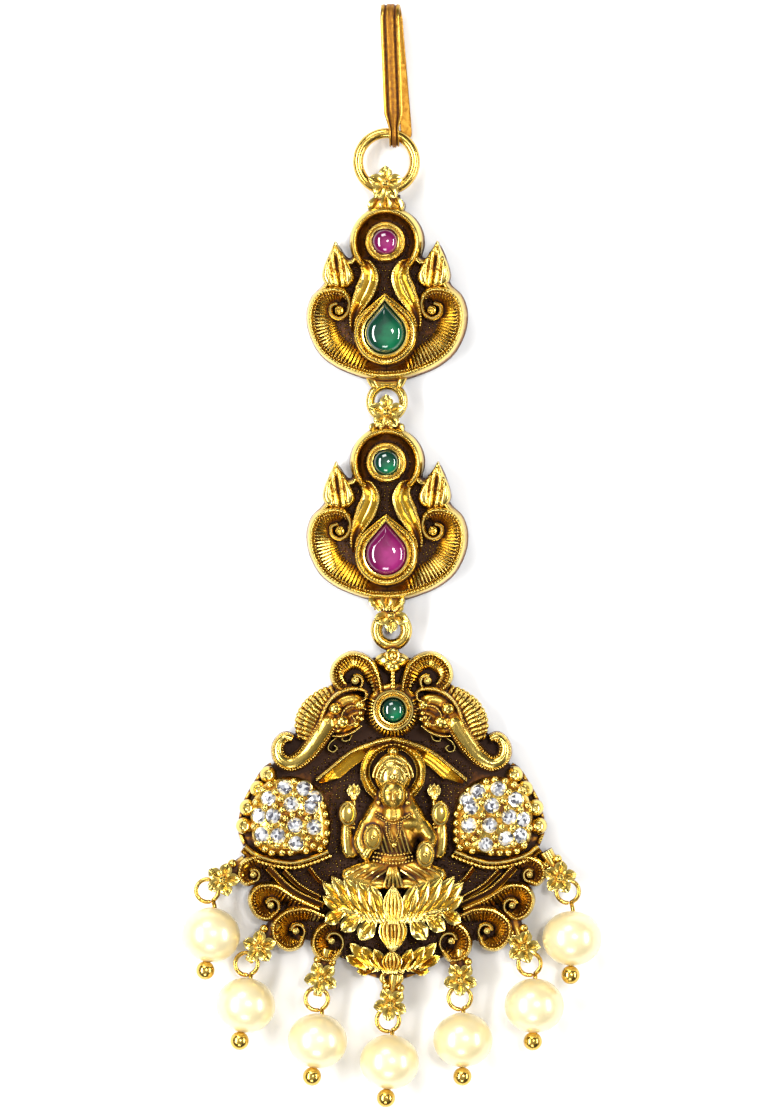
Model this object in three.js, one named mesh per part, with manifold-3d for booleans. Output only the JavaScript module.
// Maang tikka, a forehead ornament: a hair hook, a ring, two stone-set links and one cast pendant
// with two pave domes and seven pearl drops. It lies on its back.
// Millimetres. +X is right, +Y is towards the hook, +Z is up, out of the ornament's face.
import * as THREE from 'three';
import { mergeVertices } from 'three/addons/utils/BufferGeometryUtils.js';
import Module from 'manifold-3d';

const wasm = await Module();
wasm.setup();

// ---- Driving dimensions ----
const GAP = 0.3; // clearance round a wire in its bail
const SEAT_GAP = 0.25; // clearance round a stone in its setting
const CHAIN_Z = 1.45; // height of the centres of the ring and the chain loops

const HOOK = { x: -0.2, top: 54.9, width: 1.85, thick: 0.5, height: 2.9, lean: 0.45, backShift: 1.0 };
const RING = { x: -0.45, y: 39.25, radius: 2.83, wire: 0.52 };
const UPPER = { x: -0.45, y: 22.05, tilt: -5, topBail: 14.37 };
const LOWER = { x: -0.4, y: 0.1, tilt: -3, topBail: 13.55 };
const UPPER_LOOP = { y: 15.3, radius: 1.65, wire: 0.45 };
const PENDANT_RING = { y: -7.5, radius: 1.485, wire: 0.585 };
const AXIS_X = 0.05; // the pendant's line of symmetry

const LINK_BACK = 0.7;
const LINK_FLOOR = 1.6;
const LINK_RIM = 3.3;
const BEZEL_TOP = 4.2;
const BEZEL_SEAT = 2.6;

const PLATE_TOP = 1.0;
const SCROLL_TOP = 3.0;
const DROP_Z = 2.1; // height of the drops' wire loops
const LOOP = { radius: 1.12, wire: 0.22 };
const PEARL = { radius: 2.95, halfLength: 2.7, hole: 0.55 };
const END_BEAD = 0.85;

// ---- Materials ----
const metal = (color) => new THREE.MeshStandardMaterial({ color, roughness: 0.35, metalness: 1 });
const glass = (color) => new THREE.MeshStandardMaterial({ color, roughness: 0.08, metalness: 0 });
const GOLD = 0xc08a2c;
const RUBY = 0xa81250;
const EMERALD = 0x0f7a4c;
const PAVE = 0xdad6cc;
const PEARL_WHITE = 0xf3e9cf;

// ---- Solids ----
function solidOf(geometry) {
  const bare = geometry.clone();
  bare.deleteAttribute('normal');
  bare.deleteAttribute('uv');
  const merged = mergeVertices(bare, 1e-4);
  const triVerts = new Uint32Array(merged.index.array);
  const vertProperties = new Float32Array(merged.attributes.position.array);
  return new wasm.Manifold(new wasm.Mesh({ numProp: 3, vertProperties, triVerts }));
}

function geometryOf(solid) {
  const mesh = solid.getMesh();
  const geometry = new THREE.BufferGeometry();
  geometry.setAttribute('position', new THREE.BufferAttribute(mesh.vertProperties, 3));
  geometry.setIndex(new THREE.BufferAttribute(mesh.triVerts, 1));
  geometry.computeVertexNormals();
  return geometry;
}

const join = (shapes) => shapes.map(solidOf).reduce((sum, next) => sum.add(next));

// ---- Forms that several pieces use ----
const vec2 = ([x, y]) => new THREE.Vector2(x, y);
const mirrored = (points) => points.map(([x, y]) => [-x, y]);

// A closed outline from the points of its right half, from top to bottom.
const symmetric = (half) => [...half, ...mirrored(half).reverse().filter(([x]) => x !== 0)];

function plate(points, bottom, top) {
  const shape = new THREE.Shape(points.map(vec2));
  const depth = top - bottom;
  return new THREE.ExtrudeGeometry(shape, { depth, bevelEnabled: false }).translate(0, 0, bottom);
}

function smooth(points, steps, closed = false) {
  const path = points.map(([x, y]) => new THREE.Vector3(x, y, 0));
  const curve = new THREE.CatmullRomCurve3(path, closed, 'centripetal');
  const sampled = curve.getSpacedPoints(steps).map((p) => [p.x, p.y]);
  return closed ? sampled.slice(0, -1) : sampled;
}

// An upright wall of even width that follows a curve.
function band(points, width, bottom, top, steps = 12) {
  const line = smooth(points, steps).map(vec2);
  const side = line.map((p, i) => {
    const along = line[Math.min(i + 1, steps)].clone().sub(line[Math.max(i - 1, 0)]).normalize();
    return new THREE.Vector2(-along.y, along.x).multiplyScalar(width / 2);
  });
  const left = line.map((p, i) => p.clone().add(side[i]));
  const right = line.map((p, i) => p.clone().sub(side[i])).reverse();
  return plate([...left, ...right].map((p) => [p.x, p.y]), bottom, top);
}

function ball(x, y, z, rx, ry = rx, rz = rx, across = 6) {
  return new THREE.SphereGeometry(1, across, Math.round(across * 0.75)).scale(rx, ry, rz).translate(x, y, z);
}

function post(x, y, radius, bottom, top, sides = 8) {
  const height = top - bottom;
  const cylinder = new THREE.CylinderGeometry(radius, radius, height, sides).rotateX(Math.PI / 2);
  return cylinder.translate(x, y, bottom + height / 2);
}

function rod(from, to, radius, sides = 8) {
  const start = new THREE.Vector3(...from);
  const along = new THREE.Vector3(...to).sub(start);
  const turn = new THREE.Quaternion().setFromUnitVectors(
    new THREE.Vector3(0, 1, 0),
    along.clone().normalize(),
  );
  const cylinder = new THREE.CylinderGeometry(radius, radius, along.length(), sides);
  const middle = start.clone().addScaledVector(along, 0.5);
  return cylinder.applyQuaternion(turn).translate(middle.x, middle.y, middle.z);
}

function wireRing(x, y, z, radius, wire, round = 6, around = 18) {
  return new THREE.TorusGeometry(radius, wire, round, around).translate(x, y, z);
}

const box = (x, y, z, sx, sy, sz) => new THREE.BoxGeometry(sx, sy, sz).translate(x, y, z);

// A turned cup that holds a round stone.
function roundBezel(x, y, outer, stone, bottom, seat, top) {
  const inner = stone + SEAT_GAP;
  const profile = [[0, bottom], [outer, bottom], [outer, top], [inner, top], [inner, seat], [0, seat]];
  const cup = new THREE.LatheGeometry(profile.map(vec2), 14);
  return cup.rotateX(Math.PI / 2).translate(x, y, 0);
}

function roundStone(radius, seat, top) {
  const base = seat + SEAT_GAP;
  const shoulder = base + (top - base) * 0.6;
  const profile = [[0, base], [radius, base], [radius, shoulder], [radius * 0.7, top - 0.15], [0, top]];
  return new THREE.LatheGeometry(profile.map(vec2), 14).rotateX(Math.PI / 2);
}

// A pear outline: a round bowl of the given radius and straight shoulders to a tip.
function pear(radius, tip, steps = 14) {
  const lift = Math.asin(radius / tip);
  const arc = [];
  for (let i = 0; i <= steps; i += 1) {
    const turn = lift - ((Math.PI + 2 * lift) * i) / steps;
    arc.push([radius * Math.cos(turn), radius * Math.sin(turn)]);
  }
  return [[0, tip], ...arc];
}

// A five-petal flower with a bead at its centre. turn is the direction of its first petal.
function flower(x, y, bottom, radius, turn) {
  const petal = [[0, 1], [0.63, 0.5]];
  const points = [];
  for (let i = 0; i < 5; i += 1) {
    for (const [step, reach] of petal) {
      const angle = turn + i * 0.4 * Math.PI + step;
      points.push([x + radius * reach * Math.cos(angle), y + radius * reach * Math.sin(angle)]);
    }
  }
  return [plate(points, bottom, bottom + 0.6), post(x, y, 0.4, bottom + 0.3, bottom + 0.9, 6)];
}

// A short tube that a wire passes through; across is the direction that its axis runs in.
function bail(x, y, z, inner, outer, length, across) {
  const half = length / 2;
  const profile = [[inner, -half], [outer, -half], [outer, half], [inner, half], [inner, -half]];
  const tube = new THREE.LatheGeometry(profile.map(vec2), 8).rotateZ(-Math.PI / 2);
  return tube.rotateZ(across).translate(x, y, z);
}

// ---- Hair hook: a bent strip whose lower end wraps the ring ----
function hairHook() {
  const { x, top, width, thick, height, lean, backShift } = HOOK;
  const bend = height / 2;
  const eyeY = RING.y + RING.radius;
  const inner = RING.wire + GAP;
  const outer = inner + thick * 0.85;
  const eyeWidth = width * 0.6;
  const overlap = 0.3;
  const back = { end: 41.6, start: top - bend + overlap, width: width * 0.62 };
  const arc = (cy, cz, radius, from, to, steps) =>
    Array.from({ length: steps + 1 }, (_, i) => {
      const angle = THREE.MathUtils.degToRad(from + ((to - from) * i) / steps);
      return [cy + radius * Math.cos(angle), cz + radius * Math.sin(angle)];
    });
  // A side outline of (y, z) points, given a width and a sideways shift that may change evenly with y.
  const strip = (outline, widthAt, shiftAt) => {
    const body = new THREE.ExtrudeGeometry(new THREE.Shape(outline.map(vec2)), {
      depth: 1,
      steps: 1,
      bevelEnabled: false,
    });
    const place = body.attributes.position;
    for (let i = 0; i < place.count; i += 1) {
      const y = place.getX(i);
      const centre = x + (lean * (top - y)) / (top - eyeY) + shiftAt(y);
      place.setXYZ(i, centre + (place.getZ(i) - 0.5) * widthAt(y), y, place.getY(i));
    }
    return body;
  };
  const front = [
    ...arc(top - bend, bend, bend, -90, 90, 8),
    [eyeY + 2.2, height],
    [eyeY + 2.2, height - thick],
    ...arc(top - bend, bend, bend - thick, 90, -90, 8),
  ];
  const eye = [
    [eyeY + 2.2 + overlap, height],
    ...arc(eyeY, CHAIN_Z, outer, 80, 300, 9),
    ...arc(eyeY, CHAIN_Z, inner, 300, 80, 9),
    [eyeY + 2.2 + overlap, height - thick],
  ];
  const leg = [
    [back.end, 0],
    [back.start, 0],
    [back.start, thick],
    [back.end, thick],
  ];
  const down = (y) => (back.start - y) / (back.start - back.end);
  return join([
    strip(front, () => width, () => 0),
    strip(eye, () => eyeWidth, () => 0),
    strip(leg, (y) => width + (back.width - width) * down(y), (y) => backShift * (0.2 + down(y))),
  ]);
}

// ---- Links: a collar with a round stone over two scrolled lobes with a pear stone ----
const COLLAR = { y: 9.1, radius: 3.15, width: 0.8, bezel: 1.98, stone: 1.25 };
const PEAR = { bezel: 3.15, bezelTip: 4.1, stone: 2.05, stoneTip: 3.15 };

const LINK_OUTLINE = symmetric([
  [0, 12.7], [1.7, 12.3], [3.0, 11.1], [3.6, 9.3], [3.3, 7.6], [3.9, 7.0], [5.2, 8.8], [5.9, 7.4],
  [6.2, 5.6], [6.7, 4.7], [7.8, 3.4], [8.05, 1.5], [7.6, -0.4], [6.6, -2.1], [5.0, -3.3],
  [3.2, -4.0], [1.4, -4.6], [0, -4.7],
]);
const LINK_LEAF = [
  [5.2, 8.8], [5.9, 7.4], [6.2, 5.6], [5.6, 4.6], [4.4, 4.9], [3.8, 6.2], [4.4, 6.9], [4.8, 7.7],
];
const LINK_TULIP = [
  [1.7, 7.1], [2.1, 6.0], [3.1, 4.6], [3.7, 3.0], [3.5, 1.4], [2.8, 1.4], [2.2, 3.4], [0.9, 4.9], [1.1, 6.0],
];
const LINK_LOBE = [
  [4.6, 3.1], [5.3, 4.1], [6.4, 4.3], [7.3, 3.3], [7.65, 1.5], [7.2, -0.5], [6.2, -2.0], [4.6, -3.1],
  [2.6, -3.9], [0.6, -4.3],
];
const LOBE_EYE = { x: 4.6, y: 2.2, radius: 0.95 };

function linkCasting(link) {
  const shapes = [plate(LINK_OUTLINE, LINK_BACK, LINK_FLOOR)];
  const open = Math.PI * 0.24;
  const rim = Array.from({ length: 9 }, (_, i) => {
    const angle = -Math.PI / 2 + open + ((2 * Math.PI - 2 * open) * i) / 8;
    return [COLLAR.radius * Math.cos(angle), COLLAR.y + COLLAR.radius * Math.sin(angle)];
  });
  shapes.push(band(rim, COLLAR.width, LINK_BACK, LINK_RIM, 16));
  shapes.push(roundBezel(0, COLLAR.y, COLLAR.bezel, COLLAR.stone, LINK_BACK, BEZEL_SEAT, BEZEL_TOP - 0.1));
  for (const half of [(points) => points, mirrored]) {
    shapes.push(plate(half(LINK_LEAF), LINK_BACK, LINK_RIM - 0.2));
    shapes.push(plate(half(LINK_TULIP), LINK_BACK, LINK_RIM + 0.4));
    shapes.push(band(half(LINK_LOBE), 0.75, LINK_BACK, LINK_RIM, 14));
    const [[eyeX, eyeY]] = half([[LOBE_EYE.x, LOBE_EYE.y]]);
    shapes.push(post(eyeX, eyeY, LOBE_EYE.radius, LINK_BACK, LINK_RIM));
  }
  shapes.push(plate(pear(PEAR.bezel, PEAR.bezelTip), LINK_BACK, BEZEL_TOP));
  shapes.push(...chainBail(0, link.topBail, RING.wire + GAP, 1));
  shapes.push(box(0, link.topBail - 1.3, CHAIN_Z, 2.0, 1.2, 1.3));
  const pocket = plate(pear(PEAR.stone + SEAT_GAP, PEAR.stoneTip + SEAT_GAP), BEZEL_SEAT, BEZEL_TOP + 1);
  return { shapes, pocket };
}

// A flower on a short tube for the ring or loop of the next piece; up is 1 or -1.
function chainBail(x, y, inner, up) {
  const petals = flower(x, y + 0.3 * up, CHAIN_Z + inner + 0.3, 1.7, (up * Math.PI) / 2);
  return [bail(x, y, CHAIN_Z, inner, inner + 0.38, 0.9, 0), ...petals];
}

function upperLinkSolid() {
  const { shapes, pocket } = linkCasting(UPPER);
  const loopY = UPPER_LOOP.y - UPPER.y;
  shapes.push(wireRing(0, loopY, CHAIN_Z, UPPER_LOOP.radius, UPPER_LOOP.wire));
  shapes.push(box(0, -4.8, CHAIN_Z, 1.6, 1.2, 0.9));
  return join(shapes).subtract(solidOf(pocket));
}

function lowerLinkSolid() {
  const { shapes, pocket } = linkCasting(LOWER);
  const bailX = AXIS_X - LOWER.x;
  const bailY = PENDANT_RING.y + PENDANT_RING.radius - LOWER.y;
  const inner = PENDANT_RING.wire + GAP;
  shapes.push(...chainBail(bailX, bailY, inner, -1));
  shapes.push(box(bailX / 2, -4.75, CHAIN_Z, 1.8, 0.9, 1.3));
  return join(shapes).subtract(solidOf(pocket));
}

function pearStone() {
  const base = BEZEL_SEAT + SEAT_GAP;
  const levels = [[0, base, 3.9], [0.45, 3.8, 4.4], [1.0, 4.3, 4.8]];
  const slab = ([inset, bottom, top]) =>
    plate(pear(PEAR.stone - inset, PEAR.stoneTip - inset * 1.5, 12), bottom, top);
  return join(levels.map(slab));
}

// ---- Pendant ----
const STONE_SEAT = 2.8;
const CENTRE_BEZEL = { y: -15.4, radius: 2.06, stone: 1.2, top: 4.4 };

const PENDANT_OUTLINE = symmetric([
  [0, -8.9], [1.1, -9.6], [2.4, -9.9], [4.1, -9.6], [5.6, -10.5], [6.1, -12.4], [7.4, -13.6],
  [9.0, -15.3], [9.8, -17.4], [11.3, -18.4], [11.7, -20.0], [12.9, -21.4], [14.3, -23.4],
  [15.1, -25.2], [15.4, -27.3], [15.0, -29.3], [15.4, -31.2], [14.3, -32.8], [14.1, -34.6],
  [13.2, -36.0], [12.0, -36.3], [11.8, -38.0], [10.4, -39.0], [8.3, -38.9], [7.4, -40.1],
  [5.6, -40.5], [4.0, -41.2], [2.6, -42.3], [0, -42.9],
]);
const FAN_SCROLL = [[1.0, -13.4], [1.5, -11.6], [2.4, -10.5], [4.1, -10.1], [5.5, -11.2], [5.7, -12.4], [4.9, -13.3]];
const HEAD = [[2.4, -14.1], [5.6, -15.0], [6.6, -16.4], [5.4, -17.8], [3.1, -17.3], [2.3, -15.8]];
const TRUNK = [
  [5.6, -15.6], [7.0, -17.4], [7.9, -19.0], [9.2, -20.4], [10.6, -20.6], [11.1, -19.6], [10.5, -18.6], [9.6, -18.7],
];
const CREST = [[5.6, -13.4], [7.2, -14.2], [8.5, -15.6], [9.0, -17.2]];
const ARCH = [[0, -18.3], [1.9, -18.8], [4.1, -19.8], [5.8, -21.3], [7.3, -22.2]];
const DOME_RIM = [[13.7, -29.8], [11.7, -30.5], [9.7, -30.6], [7.8, -30.1], [6.2, -29.5]];
const STEMS = [
  [[12.3, -31.1], [9.9, -33.4], [6.8, -34.9]],
  [[10.7, -31.5], [9.1, -33.0], [7.2, -34.1]],
  [[8.2, -31.2], [7.2, -32.4], [6.2, -33.0]],
];
const SCROLLS = [
  [[13.4, -30.2], [14.6, -30.4], [15.0, -31.4], [14.3, -32.3], [13.3, -32.0], [13.4, -31.2]],
  [[7.2, -35.1], [9.8, -33.9], [11.8, -32.8], [13.4, -33.5], [13.6, -34.9], [12.6, -35.8], [11.6, -35.2]],
  [[6.7, -35.7], [8.6, -35.5], [10.6, -35.9], [11.4, -37.2], [10.9, -38.4], [9.6, -38.5], [9.0, -37.6]],
  [[4.6, -36.6], [6.2, -36.7], [7.4, -37.6], [7.5, -39.0], [6.5, -39.8], [5.2, -39.6], [5.0, -38.7]],
];
const RIM_BEADS = [[12.25, -21.9], [13.25, -23.35], [14.3, -25.2], [14.65, -27.0]];
const BEAD_RADIUS = 0.75;

// Each petal: the tip, the base, the width and the height that it stands to.
const LOTUS_PETALS = [
  { tip: [0.15, -32.8], base: [0.15, -36.5], width: 1.9, top: 5.0 },
  { tip: [2.5, -32.7], base: [0.9, -36.5], width: 1.7, top: 4.7 },
  { tip: [4.6, -32.5], base: [1.9, -36.5], width: 1.7, top: 4.4 },
  { tip: [6.8, -32.4], base: [2.9, -36.4], width: 1.8, top: 4.1 },
  { tip: [6.8, -33.8], base: [3.6, -36.2], width: 1.5, top: 4.3 },
  { tip: [0.1, -39.2], base: [0.1, -36.2], width: 2.7, top: 4.6 },
  { tip: [3.2, -38.1], base: [2.1, -36.2], width: 2.0, top: 4.5 },
  { tip: [5.1, -37.2], base: [3.8, -35.8], width: 1.6, top: 4.3 },
  { tip: [0, -39.4], base: [0, -41.6], width: 2.0, top: 3.6 },
  { tip: [2.1, -39.0], base: [0.8, -41.4], width: 1.4, top: 3.4 },
  { tip: [3.4, -38.9], base: [1.8, -41.3], width: 1.4, top: 3.2 },
];

function petal({ tip, base, width, top }) {
  const start = vec2(base);
  const along = vec2(tip).sub(start);
  const across = new THREE.Vector2(-along.y, along.x).normalize().multiplyScalar(width / 2);
  const stations = [[0, 0.55], [0.35, 1], [0.75, 0.7]];
  const at = ([share, spread], side) => {
    const p = start.clone().addScaledVector(along, share).addScaledVector(across, side * spread);
    return [p.x, p.y];
  };
  const left = stations.map((s) => at(s, 1));
  const right = stations.map((s) => at(s, -1)).reverse();
  return plate([...left, tip, ...right], 0.2, top);
}

function figure() {
  const limbs = [
    { from: [1.5, -26.1, 3.4], to: [3.6, -28.9, 4.0], radius: 0.5 }, // upper arm
    { from: [3.6, -28.9, 4.0], to: [2.9, -30.1, 5.6], radius: 0.5 }, // front forearm
    { from: [2.4, -26.4, 3.0], to: [4.3, -29.3, 3.0], radius: 0.5 }, // rear upper arm
    { from: [4.3, -29.3, 3.0], to: [4.3, -25.9, 3.4], radius: 0.45 }, // raised forearm
    { from: [4.3, -25.9, 3.4], to: [3.9, -23.4, 3.6], radius: 0.55 }, // lotus bud in the raised hand
    { from: [0.9, -31.2, 4.4], to: [4.3, -31.6, 4.6], radius: 0.95 }, // thigh
    { from: [4.3, -31.7, 4.4], to: [0.3, -32.2, 5.4], radius: 0.75 }, // folded shin
  ];
  const shapes = [
    wireRing(0.15, -21.55, 2.6, 2.75, 0.55, 5, 16),
    post(0.15, -21.55, 2.6, 0.5, 2.5, 10),
    ball(0.15, -24.0, 4.4, 1.1, 1.35, 1.3, 8), // head
    new THREE.CylinderGeometry(0.9, 1.8, 2.6, 8).translate(0.15, -21.2, 3.9), // crown
    ball(0.15, -19.9, 3.9, 1.0, 0.8, 1.0), // crown knob
    ball(0.15, -27.6, 3.9, 2.1, 2.6, 1.7, 8), // chest
    ball(0.15, -30.4, 4.2, 1.8, 1.4, 1.6), // waist
    box(0.15, -28.2, 1.8, 6.0, 8.4, 2.4), // back ground
  ];
  for (const { from, to, radius } of limbs) {
    for (const side of [1, -1]) {
      const put = ([x, y, z]) => [0.15 + side * x, y, z];
      shapes.push(rod(put(from), put(to), radius, 5));
    }
  }
  return shapes;
}

// The flowers and wire loops of the seven drops, their pearls and end beads, left to right.
const DROPS = [
  { flower: [-16.75, -32.3], loop: [-18.3, -33.4], pearl: [-17.95, -37.8], bead: [-18.45, -41.3] },
  { flower: [-13.1, -39.0], loop: [-14.4, -40.7], pearl: [-14.45, -44.8], bead: [-15.05, -48.3] },
  { flower: [-6.95, -42.1], loop: [-7.4, -44.2], pearl: [-7.3, -48.35], bead: [-7.85, -51.85] },
  { flower: [-0.05, -44.7], loop: [-0.3, -46.3], pearl: [-0.15, -50.45], bead: [-0.5, -54.0] },
  { flower: [6.9, -42.2], loop: [6.85, -44.1], pearl: [7.15, -48.25], bead: [7.1, -51.85] },
  { flower: [13.15, -39.0], loop: [13.8, -40.7], pearl: [14.25, -44.85], bead: [14.1, -48.35] },
  { flower: [16.8, -32.1], loop: [17.6, -33.5], pearl: [18.0, -38.15], bead: [17.85, -41.75] },
];

function dropBail({ flower: [fx, fy], loop: [lx, ly] }) {
  const out = new THREE.Vector2(lx - fx, ly - fy).normalize();
  const bailAt = new THREE.Vector2(lx, ly).addScaledVector(out, -LOOP.radius);
  const inner = LOOP.wire + GAP + 0.1;
  const start = new THREE.Vector2(fx, fy).addScaledVector(out, -2.9);
  const end = bailAt.clone().addScaledVector(out, -inner - 0.1);
  const middle = start.clone().lerp(end, 0.5);
  const turn = Math.atan2(out.y, out.x);
  return [
    bail(bailAt.x, bailAt.y, DROP_Z, inner, inner + 0.4, 0.9, turn + Math.PI / 2),
    band([[start.x, start.y], [middle.x, middle.y], [end.x, end.y]], 1.2, 0.3, 2.6, 2),
    ...flower(fx, fy, DROP_Z + inner + 0.3, 1.6, turn),
  ];
}

function pendantSolid() {
  const shapes = [plate(PENDANT_OUTLINE, 0, PLATE_TOP)];
  shapes.push(wireRing(0, PENDANT_RING.y, CHAIN_Z, PENDANT_RING.radius, PENDANT_RING.wire));
  shapes.push(box(0, -9.4, 1.2, 1.6, 1.6, 1.4));
  shapes.push(post(0, -10.1, 0.75, 0.5, SCROLL_TOP), ball(0, -11.2, 2.0, 1.7, 0.9, 1.3));
  shapes.push(band([[0, -11.4], [0, -12.4], [0, -13.4]], 0.7, 0.5, SCROLL_TOP + 0.2, 2));
  shapes.push(
    roundBezel(0.15, CENTRE_BEZEL.y, CENTRE_BEZEL.radius, CENTRE_BEZEL.stone, 0.5, STONE_SEAT, CENTRE_BEZEL.top),
  );
  shapes.push(post(0.15, CENTRE_BEZEL.y, 2.5, 0.5, SCROLL_TOP, 16));
  for (const half of [(points) => points, mirrored]) {
    shapes.push(band(half(FAN_SCROLL), 0.8, 0.5, SCROLL_TOP + 0.3, 9));
    const [[eyeX, eyeY]] = half([[3.6, -12.5]]);
    shapes.push(post(eyeX, eyeY, 0.55, 0.5, SCROLL_TOP, 8));
    shapes.push(plate(half(HEAD), 0.5, 3.9));
    shapes.push(band(half(TRUNK), 0.95, 0.5, 3.7, 10));
    shapes.push(band(half(CREST), 1.4, 0.5, 2.9, 4));
    shapes.push(band(half(ARCH), 0.7, 0.5, 4.3, 5));
    shapes.push(band(half(DOME_RIM), 0.8, 0.5, 3.3, 4));
    shapes.push(...STEMS.map((stem) => band(half(stem), 0.55, 0.5, SCROLL_TOP, 3)));
    shapes.push(...SCROLLS.map((scroll) => band(half(scroll), 0.7, 0.5, SCROLL_TOP, 9)));
    for (const [x, y] of half(RIM_BEADS)) {
      shapes.push(post(x, y, BEAD_RADIUS * 0.8, 0.5, 1.6, 6), ball(x, y, 1.7, BEAD_RADIUS));
    }
  }
  for (const row of LOTUS_PETALS) {
    const flip = ([x, y]) => [2 * 0.15 - x, y];
    shapes.push(petal(row));
    if (row.tip[0] > 1) {
      shapes.push(petal({ ...row, tip: flip(row.tip), base: flip(row.base) }));
    }
  }
  shapes.push(...figure());
  const casting = shapes.map((shape) => shape.translate(AXIS_X, 0, 0));
  const wells = [1, -1].map((side) => plate(domeOutline(side, GAP), PLATE_TOP, 8));
  const cast = join([...casting, ...DROPS.flatMap(dropBail)]);
  return wells.map(solidOf).reduce((sum, next) => sum.subtract(next), cast);
}

// ---- Pave domes: cushions of stones, one solid each ----
const DOME = [
  [12.6, -22.8], [10.0, -22.1], [7.8, -22.9], [6.5, -24.8], [6.1, -27.4], [6.5, -29.2],
  [8.6, -29.7], [11.0, -29.9], [13.3, -29.3], [14.0, -26.8], [13.7, -24.4],
];
const DOME_CENTRE = [10.2, -26.2];

function domeOutline(side, grow) {
  const [cx, cy] = DOME_CENTRE;
  const swell = (4 + grow) / 4;
  const points = DOME.map(([x, y]) => [AXIS_X + side * (cx + (x - cx) * swell), cy + (y - cy) * swell]);
  return smooth(points, 14, true);
}

function paveDome(side) {
  const levels = [
    { bottom: PLATE_TOP + GAP, top: 3.0, share: -0.02 },
    { bottom: 2.9, top: 4.1, share: -0.6 },
    { bottom: 4.0, top: 4.8, share: -1.6 },
  ];
  return join(levels.map(({ bottom, top, share }) => plate(domeOutline(side, share), bottom, top)));
}

// ---- Drops: a wire loop with a pin and an end bead, and a drilled pearl ----
function dropAxis({ pearl: [px, py], bead: [bx, by] }) {
  const centre = new THREE.Vector3(px, py, PEARL.radius);
  const flat = new THREE.Vector3(bx - px, by - py, 0);
  const rise = 0.17 * flat.length();
  const end = new THREE.Vector3(bx, by, PEARL.radius + rise);
  return { centre, end, along: end.clone().sub(centre).normalize() };
}

function dropPin(drop) {
  const { centre, end, along } = dropAxis(drop);
  const exit = centre.clone().addScaledVector(along, -(PEARL.halfLength + 0.2));
  const loop = new THREE.Vector3(...drop.loop, DROP_Z);
  const inward = exit.clone().sub(loop).setZ(0).normalize();
  const neck = loop.clone().addScaledVector(inward, LOOP.radius);
  return join([
    wireRing(loop.x, loop.y, loop.z, LOOP.radius, LOOP.wire, 5, 14),
    rod(neck.toArray(), exit.toArray(), LOOP.wire, 5),
    ball(...exit.toArray(), LOOP.wire * 1.1, LOOP.wire * 1.1, LOOP.wire * 1.1, 4),
    rod(exit.toArray(), end.toArray(), LOOP.wire, 5),
    ball(...end.toArray(), END_BEAD),
  ]);
}

function pearlGeometry(drop) {
  const { centre, along } = dropAxis(drop);
  const start = Math.asin(PEARL.hole / PEARL.radius);
  const profile = Array.from({ length: 8 }, (_, i) => {
    const angle = start + ((Math.PI - 2 * start) * i) / 7;
    return new THREE.Vector2(PEARL.radius * Math.sin(angle), -PEARL.halfLength * Math.cos(angle));
  });
  profile.push(profile[0].clone());
  const turn = new THREE.Quaternion().setFromUnitVectors(new THREE.Vector3(0, 1, 0), along);
  const shape = new THREE.LatheGeometry(profile, 12).applyQuaternion(turn);
  return shape.translate(centre.x, centre.y, centre.z);
}

// ---- The scene graph ----
function named(name, geometry, material) {
  const mesh = new THREE.Mesh(geometry, material);
  mesh.name = name;
  return mesh;
}

function linkGroup(link, name, casting, roundColour, pearColour) {
  const group = new THREE.Group();
  group.position.set(link.x, link.y, CHAIN_Z);
  group.rotation.y = THREE.MathUtils.degToRad(link.tilt);
  const round = roundStone(COLLAR.stone, BEZEL_SEAT, 4.6).translate(0, COLLAR.y, 0);
  const parts = [
    named(`${name}_link`, geometryOf(casting), metal(GOLD)),
    named(`${name}_round_stone`, round, glass(roundColour)),
    named(`${name}_pear_stone`, geometryOf(pearStone()), glass(pearColour)),
  ];
  for (const part of parts) {
    part.position.z = -CHAIN_Z;
  }
  group.add(...parts);
  return group;
}

const tikka = new THREE.Group();
tikka.add(named('hair_hook', geometryOf(hairHook()), metal(GOLD)));
const ringShape = new THREE.TorusGeometry(RING.radius, RING.wire, 8, 24);
const ring = named('hook_ring', ringShape, metal(GOLD));
ring.position.set(RING.x, RING.y, CHAIN_Z);
tikka.add(ring);
tikka.add(linkGroup(UPPER, 'upper', upperLinkSolid(), RUBY, EMERALD));
tikka.add(linkGroup(LOWER, 'lower', lowerLinkSolid(), EMERALD, RUBY));
tikka.add(named('pendant', geometryOf(pendantSolid()), metal(GOLD)));
const centreStone = named('pendant_round_stone', roundStone(CENTRE_BEZEL.stone, STONE_SEAT, 4.9), glass(EMERALD));
centreStone.position.set(AXIS_X + 0.15, CENTRE_BEZEL.y, 0);
tikka.add(centreStone);
tikka.add(named('left_pave_dome', geometryOf(paveDome(-1)), glass(PAVE)));
tikka.add(named('right_pave_dome', geometryOf(paveDome(1)), glass(PAVE)));
DROPS.forEach((drop, i) => {
  tikka.add(named(`drop_pin_${i + 1}`, geometryOf(dropPin(drop)), metal(GOLD)));
  tikka.add(named(`pearl_${i + 1}`, pearlGeometry(drop), glass(PEARL_WHITE)));
});

// The origin is the middle of the underside of the whole ornament.
tikka.updateMatrixWorld(true);
const extent = new THREE.Box3().setFromObject(tikka, true);
const middle = extent.getCenter(new THREE.Vector3());
tikka.position.set(-middle.x, -middle.y, -extent.min.z);

export default tikka;
